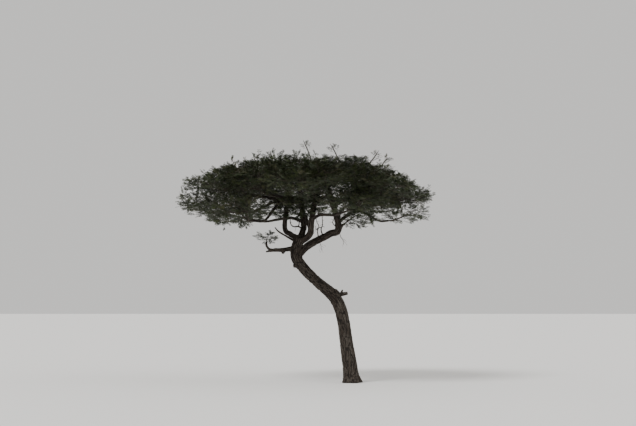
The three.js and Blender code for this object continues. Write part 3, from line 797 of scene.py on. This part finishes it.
def add_side_twigs(twigs, shoot, draw):
    """Short twigs to either side of a shoot."""
    number = len(twigs) - 1
    shoot["children"].append((SHOOT_STOUT, SHOOT_LOAD))
    least, spread = SHOOT_ALONG
    for hand, (share, length) in zip((-1, 1) * len(SHOOT_SIDES), SHOOT_SIDES):
        side = unit(np.cross(shoot["along"], (SHOOT_TWIST * draw(), 1.0, 0.0)))
        way = unit(shoot["along"] * (least + spread * draw()) + side * hand)
        root = shoot["start"] + share * (shoot["end"] - shoot["start"])
        path = shoot["path"] + share * shoot["length"]
        twig = new_twig(twigs, root, root + way * length, number, share, path, "sprig")
        if share > SHOOT_BARE:
            twig.update(kind="bare", load=BARE_LOAD)


def pad_volume(pad):
    return PAD_SHARE * (2 * pad["reach"]) ** 2 * (pad["rise"] + pad["drop"])


def add_sprigs(twigs, pad, draw):
    for number, twig in enumerate(list(twigs)):
        if twig["kind"] != "fine" or pad_depth(pad, twig["end"]) < SPRIG_DEPTH or draw() > SPRIGS:
            continue
        out = (twig["end"] - pad["at"]) / (pad["reach"], pad["reach"], pad["rise"])
        lean = unit(out + twig["along"] + UP * SPRIG_RISE) + np.array((draw(), draw(), draw())) - 0.5
        length = SPRIG_LENGTH[0] + draw() * (SPRIG_LENGTH[1] - SPRIG_LENGTH[0])
        tip = twig["end"] + unit(lean) * length * (1 if lean[2] > 0 else HANGING_SPRIG)
        if tip[2] < dome_height(tip) + SPRIG_ROOM and math.hypot(*(tip - CROWN_AXIS)[:2]) < CROWN_RADIUS:
            new_twig(twigs, twig["end"], tip, number, 1.0, twig["path"] + twig["length"], "sprig")


def share_loads(twigs):
    """A twig carries its own leaf and all the twigs that spring from it."""
    for twig in reversed(twigs):
        if twig["parent"] >= 0:
            parent = twigs[twig["parent"]]
            parent["load"] += twig["load"]
            parent["children"].append((twig["share"], twig["load"]))


def grow_pad(pad, index):
    draw = seeded(SEED + index * SEED_STEP)
    stem_start = pad["entry"] + pad["heading"] * CLEARANCE
    stem_end = pad["entry"] + pad["heading"] * STEM_SHARE * pad["reach"]
    twigs = []
    holds = holds_on(new_twig(twigs, stem_start, stem_end, -1, 0, 0, "first"), 0, FIRST_HOLD)
    found = [stem_end]
    for place in scatter(pad, draw, found, pad["twigs"], **FIRST_TWIGS):
        twig = join_twig(twigs, holds, place, "first")
        holds = np.vstack((holds, holds_on(twig, len(twigs) - 1, FIRST_HOLD)))
    holds = np.vstack([holds_on(twig, number, FINE_HOLD) for number, twig in enumerate(twigs)])
    count = round(FINE_PER_CUBIC_METRE * pad_volume(pad) * pad.get("full", 1))
    lumpy = not pad.get("even")
    for place in scatter(pad, draw, found, count, **FINE_TWIGS, clumps=lumpy):
        twig = join_twig(twigs, holds, place, "fine")
        holds = np.vstack((holds, holds_on(twig, len(twigs) - 1, FINE_HOLD)))
    if lumpy:
        add_sprigs(twigs, pad, draw)
    for grown_in, tip in SHOOTS:
        if grown_in == pad["name"]:
            shoot = join_twig(twigs, holds, np.array(tip, dtype=float), "shoot", SHOOT_TURN_COST)
            add_side_twigs(twigs, shoot, draw)
    share_loads(twigs)
    for twig in twigs:
        twig["pad"] = pad
    return twigs


def dry_twig_lines(draw):
    """Curved twigs that taper to their ends, with short ones along them. Each is a line and its radii."""
    drawn = []
    for radius, bends in DRY_TWIGS:
        bends = [np.array(bend) for bend in bends]
        line = np.array([curve_point(bends, share) for share in np.linspace(0, 1, DRY_LENGTHS + 1)])
        drawn.append((line, np.linspace(radius, DRY_TIP * radius, DRY_LENGTHS + 1)))
        for step in range(DRY_LENGTHS // 3, DRY_LENGTHS):
            aside = (np.array((draw(), draw(), draw())) - 0.5) * DRY_SPREAD
            way = unit(unit(line[step + 1] - line[step]) + aside)
            length = DRY_SIDE * (0.5 + draw())
            places = np.linspace(0, length, DRY_LENGTHS + 1)[:, None]
            sag = UP * DRY_SAG * places**2 / length
            radii = np.linspace(DRY_SIDE_RADIUS * radius, TWIG_TIP, DRY_LENGTHS + 1)
            drawn.append((line[step] + way * places - sag, radii))
    return drawn


def wander(pad, place):
    """Twigs aren't straight: all the wood of a pad is bent by the same slow waves, which fade at its stem."""
    from_entry = min(1.0, float(np.linalg.norm(place - pad["entry"])) / WANDER_FADE)
    return place + np.array(noise.noise_vector(Vector(place) / WANDER_SIZE)) * WANDER * from_entry


def twig_line(twig, segments):
    shares = np.linspace(0, 1, segments + 1)
    line = twig["start"] + shares[:, None] * (twig["end"] - twig["start"])
    twig["line"] = np.array([wander(twig["pad"], place) for place in line])
    loads = [1 + sum(load for at, load in twig["children"] if at >= share) for share in shares]
    return twig["line"], np.minimum(THICKEST_TWIG, TWIG_TIP * np.array(loads) ** TWIG_POWER)


def tube_arrays(lines, radii, sides):
    """Tubes with pointed ends for many lines of the same number of points."""
    along = np.empty_like(lines)
    if lines.shape[1] > 2:
        along[:, 1:-1] = lines[:, 2:] - lines[:, :-2]
    along[:, 0] = lines[:, 1] - lines[:, 0]
    along[:, -1] = lines[:, -1] - lines[:, -2]
    along /= np.linalg.norm(along, axis=2, keepdims=True)
    side = np.cross(along, TUBE_SIDEWAYS)
    side /= np.linalg.norm(side, axis=2, keepdims=True)
    over = np.cross(along, side)
    angles = (np.arange(sides) * math.tau / sides)[None, None, :, None]
    circle = side[:, :, None] * np.cos(angles) + over[:, :, None] * np.sin(angles)
    rings = lines[:, :, None] + circle * radii[:, :, None, None]
    count, steps = lines.shape[:2]
    points = lines[:, -1:] + along[:, -1:] * radii[:, -1:, None] * TUBE_POINT
    verts = np.concatenate((rings.reshape(count, -1, 3), points), axis=1)
    faces = []
    for step in range(steps - 1):
        for k in range(sides):
            a, b = step * sides + k, step * sides + (k + 1) % sides
            faces += [(a, b, b + sides), (a, b + sides, a + sides)]
    last = (steps - 1) * sides
    faces += [(last + k, last + (k + 1) % sides, steps * sides) for k in range(sides)]
    starts = np.arange(count) * verts.shape[1]
    return verts.reshape(-1, 3), (np.array(faces)[None] + starts[:, None, None]).reshape(-1, 3)


def mesh_of_triangles(name, parts):
    """One mesh from several arrays of vertices and triangles."""
    mesh = bpy.data.meshes.new(name)
    starts = np.cumsum([0] + [len(verts) for verts, _ in parts[:-1]])
    verts = np.concatenate([verts for verts, _ in parts])
    faces = np.concatenate([faces + start for (_, faces), start in zip(parts, starts)])
    mesh.vertices.add(len(verts))
    mesh.vertices.foreach_set("co", verts.astype(np.float32).ravel())
    mesh.loops.add(faces.size)
    mesh.loops.foreach_set("vertex_index", faces.astype(np.int32).ravel())
    mesh.polygons.add(len(faces))
    mesh.polygons.foreach_set("loop_start", np.arange(0, faces.size, 3, dtype=np.int32))
    mesh.update(calc_edges=True)
    return mesh


def twig_finish():
    """Thin brown bark, blotched by age."""
    wood, shader = new_finish("twig_bark", TWIG_DARK, TWIG_ROUGHNESS)
    place = add_node(wood, "ShaderNodeTexCoord").outputs["Object"]
    blotches = texture_on(wood, "ShaderNodeTexNoise", place, TWIG_BLOTCHES, dict(Detail=4.0)).outputs["Fac"]
    link = wood.node_tree.links.new
    link(color_steps(wood, blotches, TWIG_STEPS), shader.inputs["Base Color"])
    link(bump(wood, blotches, *TWIG_BUMP), shader.inputs["Normal"])
    return wood


def tube_sort(twig):
    """How many lengths and sides a twig is drawn with."""
    if twig["kind"] == "first":
        return FIRST_TUBE
    if twig["load"] > LEAFY_LOAD or twig["kind"] == "shoot":
        return STOUT_TUBE
    return LEAFY_TUBE if twig["load"] > 1 else LAST_TUBE


all_twigs = [twig for index, pad in enumerate(pads) for twig in grow_pad(pad, index)]
sorts = {(DRY_LENGTHS, DRY_SIDES): dry_twig_lines(seeded(SEED))}
for twig in all_twigs:
    segments, sides = tube_sort(twig)
    sorts.setdefault((segments, sides), []).append(twig_line(twig, segments))
tubes = []
for (_, sides), drawn in sorts.items():
    lines, radii = (np.array(part) for part in zip(*drawn))
    tubes.append(tube_arrays(lines, radii, sides))
twig_wood = new_object("twigs", mesh_of_triangles("twigs", tubes))
twig_wood.data.materials.append(twig_finish())
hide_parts(*(f"leaves_{pad['name']}" for pad in pads))
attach(twig_wood, "root")


# Leaves
# Feathery leaves, each a midrib with pairs of side ribs that carry rows of tiny leaflets. They stand in
# sprays along the last twigs, spread level to the light, and each spray has one of five dull greens, drawn
# at random but paler at the top of a pad and darker at its bottom, as painted light and shade.
LEAF_LENGTH = 0.14
LEAF_GAP = 0.022  # between leaves along a twig
FEWEST_LEAVES, MOST_LEAVES = 4, 8
LEAFY_SHARE = 0.62  # of a twig, from its tip
SPRIG_LEAF = 0.7  # size of the leaves on sprigs, beside the others
LEAF_PAIRS = [(0.28, 0.34, 62), (0.56, 0.38, 55), (0.82, 0.32, 46)]  # place, length, angle of side ribs
MIDRIB_END = (1.08, 0.0, -0.04)
MIDRIB_WIDTH, LEAFLETS_WIDTH = 0.06, 0.21
LEAF_FOLD, LEAF_ARCH, RIB_DROOP = 0.05, 0.05, 0.06
SIZE_RANGE = (0.75, 1.25)
SPLAY, SPLAY_RANGE, END_SPLAY_RANGE = 58, 30, 40  # degrees from the twig, and of the one at its end
ROLL_RANGE = 70
LEAF_SLOPE = 0.35  # how much of its twig's slope a leaf follows
LEAF_LIFT, LEAF_LIFT_RANGE = -0.25, 0.7
SPARSE = 2  # how much further apart leaves stand on sprigs
LEAFY_LOW, LEAFY_LEAST, LEAFY_MOST = 1.23, 0.1, 0.9
# painted light and shade: sprays higher in a pad are drawn paler greens, lower ones darker
PAINTED_LIGHT_ON_TOP = 0.12  # how much paler a spray may be at the top of its pad
NOT_UPRIGHT = (1e-4, 0, 0)  # gives a leaf on an upright twig a heading
LEAF_ROUGHNESS, LEAFLETS, LEAF_BUMP = 0.58, (220, 220, 220), (0.5, 0.002)
# each spray's green is drawn at random, but the darker ones fall more often low in a pad and the paler ones
# high, as painted shade and light
GREENS = {  # the colour of a spray and the share of the sprays that have it
    "leaves_shaded": ((0.016, 0.023, 0.009), 0.2),
    "leaves_deep": ((0.022, 0.031, 0.011), 0.26),
    "leaves_olive": ((0.03, 0.04, 0.014), 0.26),
    "leaves_bright": ((0.041, 0.052, 0.018), 0.18),
    "leaves_dry": ((0.052, 0.054, 0.024), 0.1),
}


def leaf_pattern():
    """A leaf of length 1 along X, face up: two triangles for the midrib and for each feathery side rib."""
    verts, faces = [], []

    def blade(root, tip, width):
        middle = (root + tip) / 2 + UP * LEAF_FOLD / 2
        flat = unit(np.cross(UP, tip - root)) * width / 2
        first = len(verts)
        verts.extend((root, middle + flat, tip, middle - flat))
        faces.extend(((first, first + 2, first + 1), (first, first + 3, first + 2)))

    blade(np.zeros(3), np.array(MIDRIB_END), MIDRIB_WIDTH)
    for place, length, angle in LEAF_PAIRS:
        root = np.array((place, 0.0, LEAF_ARCH * math.sin(math.pi * place)))
        ahead, aside = length * math.cos(math.radians(angle)), length * math.sin(math.radians(angle))
        for hand in (1, -1):
            blade(root, root + np.array((ahead, hand * aside, -RIB_DROOP)), LEAFLETS_WIDTH)
    return np.array(verts), np.array(faces)


def on_line(twig, share):
    line = twig["line"]
    place = share * (len(line) - 1)
    i = min(int(place), len(line) - 2)
    return line[i] + (place - i) * (line[i + 1] - line[i])


def leaf_rows(twig, draw):
    """The leaves of one spray: where each is rooted, where it points, how it is rolled and how long it is."""
    sparse = twig["kind"] == "sprig"
    gap, size = (LEAF_GAP * SPARSE, LEAF_LENGTH * SPRIG_LEAF) if sparse else (LEAF_GAP, LEAF_LENGTH)
    count = min(MOST_LEAVES, max(FEWEST_LEAVES, round(LEAFY_SHARE * twig["length"] / gap)))
    level = unit(twig["along"] * (1, 1, LEAF_SLOPE) + NOT_UPRIGHT)
    hand = 1 if draw() < 0.5 else -1
    rows = []
    for i in range(count):
        share = 1 - LEAFY_SHARE * i / count
        hand = -hand
        chance = draw() - 0.5
        turn = math.radians(hand * (SPLAY + SPLAY_RANGE * chance) if i else END_SPLAY_RANGE * chance)
        c, s = math.cos(turn), math.sin(turn)
        heading = np.array((level[0] * c - level[1] * s, level[0] * s + level[1] * c, level[2]))
        heading = unit(heading + UP * (LEAF_LIFT_RANGE * draw() + LEAF_LIFT))
        side = unit(np.cross(UP, heading))
        roll = math.radians(ROLL_RANGE * (draw() - 0.5))
        side = side * math.cos(roll) + np.cross(heading, side) * math.sin(roll)
        scale = SIZE_RANGE[0] + draw() * (SIZE_RANGE[1] - SIZE_RANGE[0])
        rows.append((on_line(twig, share), heading, side, size * scale))
    return rows


def leafiness(twig):
    """The chance that a twig bears leaves: nearly all do, but few at the bottom of a pad that thins out."""
    pad = twig["pad"]
    if "below" not in pad:
        return LEAFY_MOST
    return min(1, max(LEAFY_LEAST, LEAFY_LOW * height_in(pad, twig["end"]) / pad.get("thin_to", THIN_TO)))


def green_of(twig, draw):
    """Sprays are drawn greener and paler greens towards the top of their pad, as painted light, and darker
    ones towards its bottom, as painted shade.
    """
    over_middle = (twig["end"][2] - twig["pad"]["at"][2]) / twig["pad"]["rise"]
    tone = max(0, draw() + PAINTED_LIGHT_ON_TOP * over_middle)
    for name, (_, share) in GREENS.items():
        tone -= share
        if tone < 0:
            break
    return name


draw = seeded(SEED)
sprays = {name: [] for name in GREENS}
for twig in all_twigs:
    bears = twig["kind"] in ("fine", "sprig") and twig["load"] <= LEAFY_LOAD
    if bears and draw() < leafiness(twig):
        sprays[green_of(twig, draw)].extend(leaf_rows(twig, draw))
pattern_verts, pattern_faces = leaf_pattern()
for name, rows in sprays.items():
    root, heading, side = (np.array([row[i] for row in rows]) for i in range(3))
    length = np.array([row[3] for row in rows])
    axes = np.stack((heading, side, np.cross(heading, side)), axis=1)
    verts = np.einsum("vi,nij->nvj", pattern_verts, axes) * length[:, None, None] + root[:, None]
    starts = np.arange(len(rows)) * len(pattern_verts)
    faces = pattern_faces[None] + starts[:, None, None]
    leaves = new_object(name, mesh_of_triangles(name, [(verts.reshape(-1, 3), faces.reshape(-1, 3))]))
    green, shader = new_finish(f"green_of_{name}", GREENS[name][0], LEAF_ROUGHNESS)
    place = add_node(green, "ShaderNodeTexCoord").outputs["Object"]
    leaflets = texture_on(green, "ShaderNodeTexNoise", place, LEAFLETS, dict(Detail=2.0)).outputs["Fac"]
    green.node_tree.links.new(bump(green, leaflets, *LEAF_BUMP), shader.inputs["Normal"])
    leaves.data.materials.append(green)
    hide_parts(*(f"leaves_{pad['name']}" for pad in pads))
    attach(leaves, "root")


# Floor, light and camera
# A plain pale floor that runs off into an equally pale surround, soft light from the upper left, and a camera
# 2.2 m above the ground and 37 m off, which looks slightly up.
FLOOR_RADIUS, FLOOR_SIDES, FLOOR_ROUGHNESS = 3000.0, 96, 0.9
PALE = (0.8, 0.79, 0.77)
SURROUND_LIGHT = 0.95
EYE = Vector((-1.072, -36.7, 2.2))
LENS, SENSOR = 65.0, 36.0
LOOK_UP = math.atan2(100, 1148)  # above level

bm = bmesh.new()
bmesh.ops.create_circle(bm, cap_ends=True, radius=FLOOR_RADIUS, segments=FLOOR_SIDES)
floor = object_from(bm, "floor")
floor.data.materials.append(new_finish("pale_floor", PALE, FLOOR_ROUGHNESS)[0])

world = bpy.data.worlds.new("pale_surround")
world.use_nodes = True
world.node_tree.nodes["Background"].inputs["Color"].default_value = (*PALE, 1)
world.node_tree.nodes["Background"].inputs["Strength"].default_value = SURROUND_LIGHT
bpy.context.scene.world = world
for name, energy, softness, toward in (
    ("key_light", 2.6, 22, (0.55, 0.75, -0.85)),
    ("fill_light", 0.9, 60, (-0.9, 0.5, -0.5)),
):
    lamp = bpy.data.lights.new(name, "SUN")
    lamp.energy = energy
    lamp.angle = math.radians(softness)
    light = new_object(name, lamp)
    light.rotation_euler = Vector(toward).to_track_quat("-Z", "Y").to_euler()

camera_data = bpy.data.cameras.new("camera")
camera_data.lens = LENS
camera_data.sensor_width = SENSOR
camera_data.clip_end = 2 * FLOOR_RADIUS
camera = new_object("camera", camera_data)
camera.location = EYE
camera.rotation_euler = (math.radians(90) + LOOK_UP, 0, 0)
bpy.context.scene.camera = camera
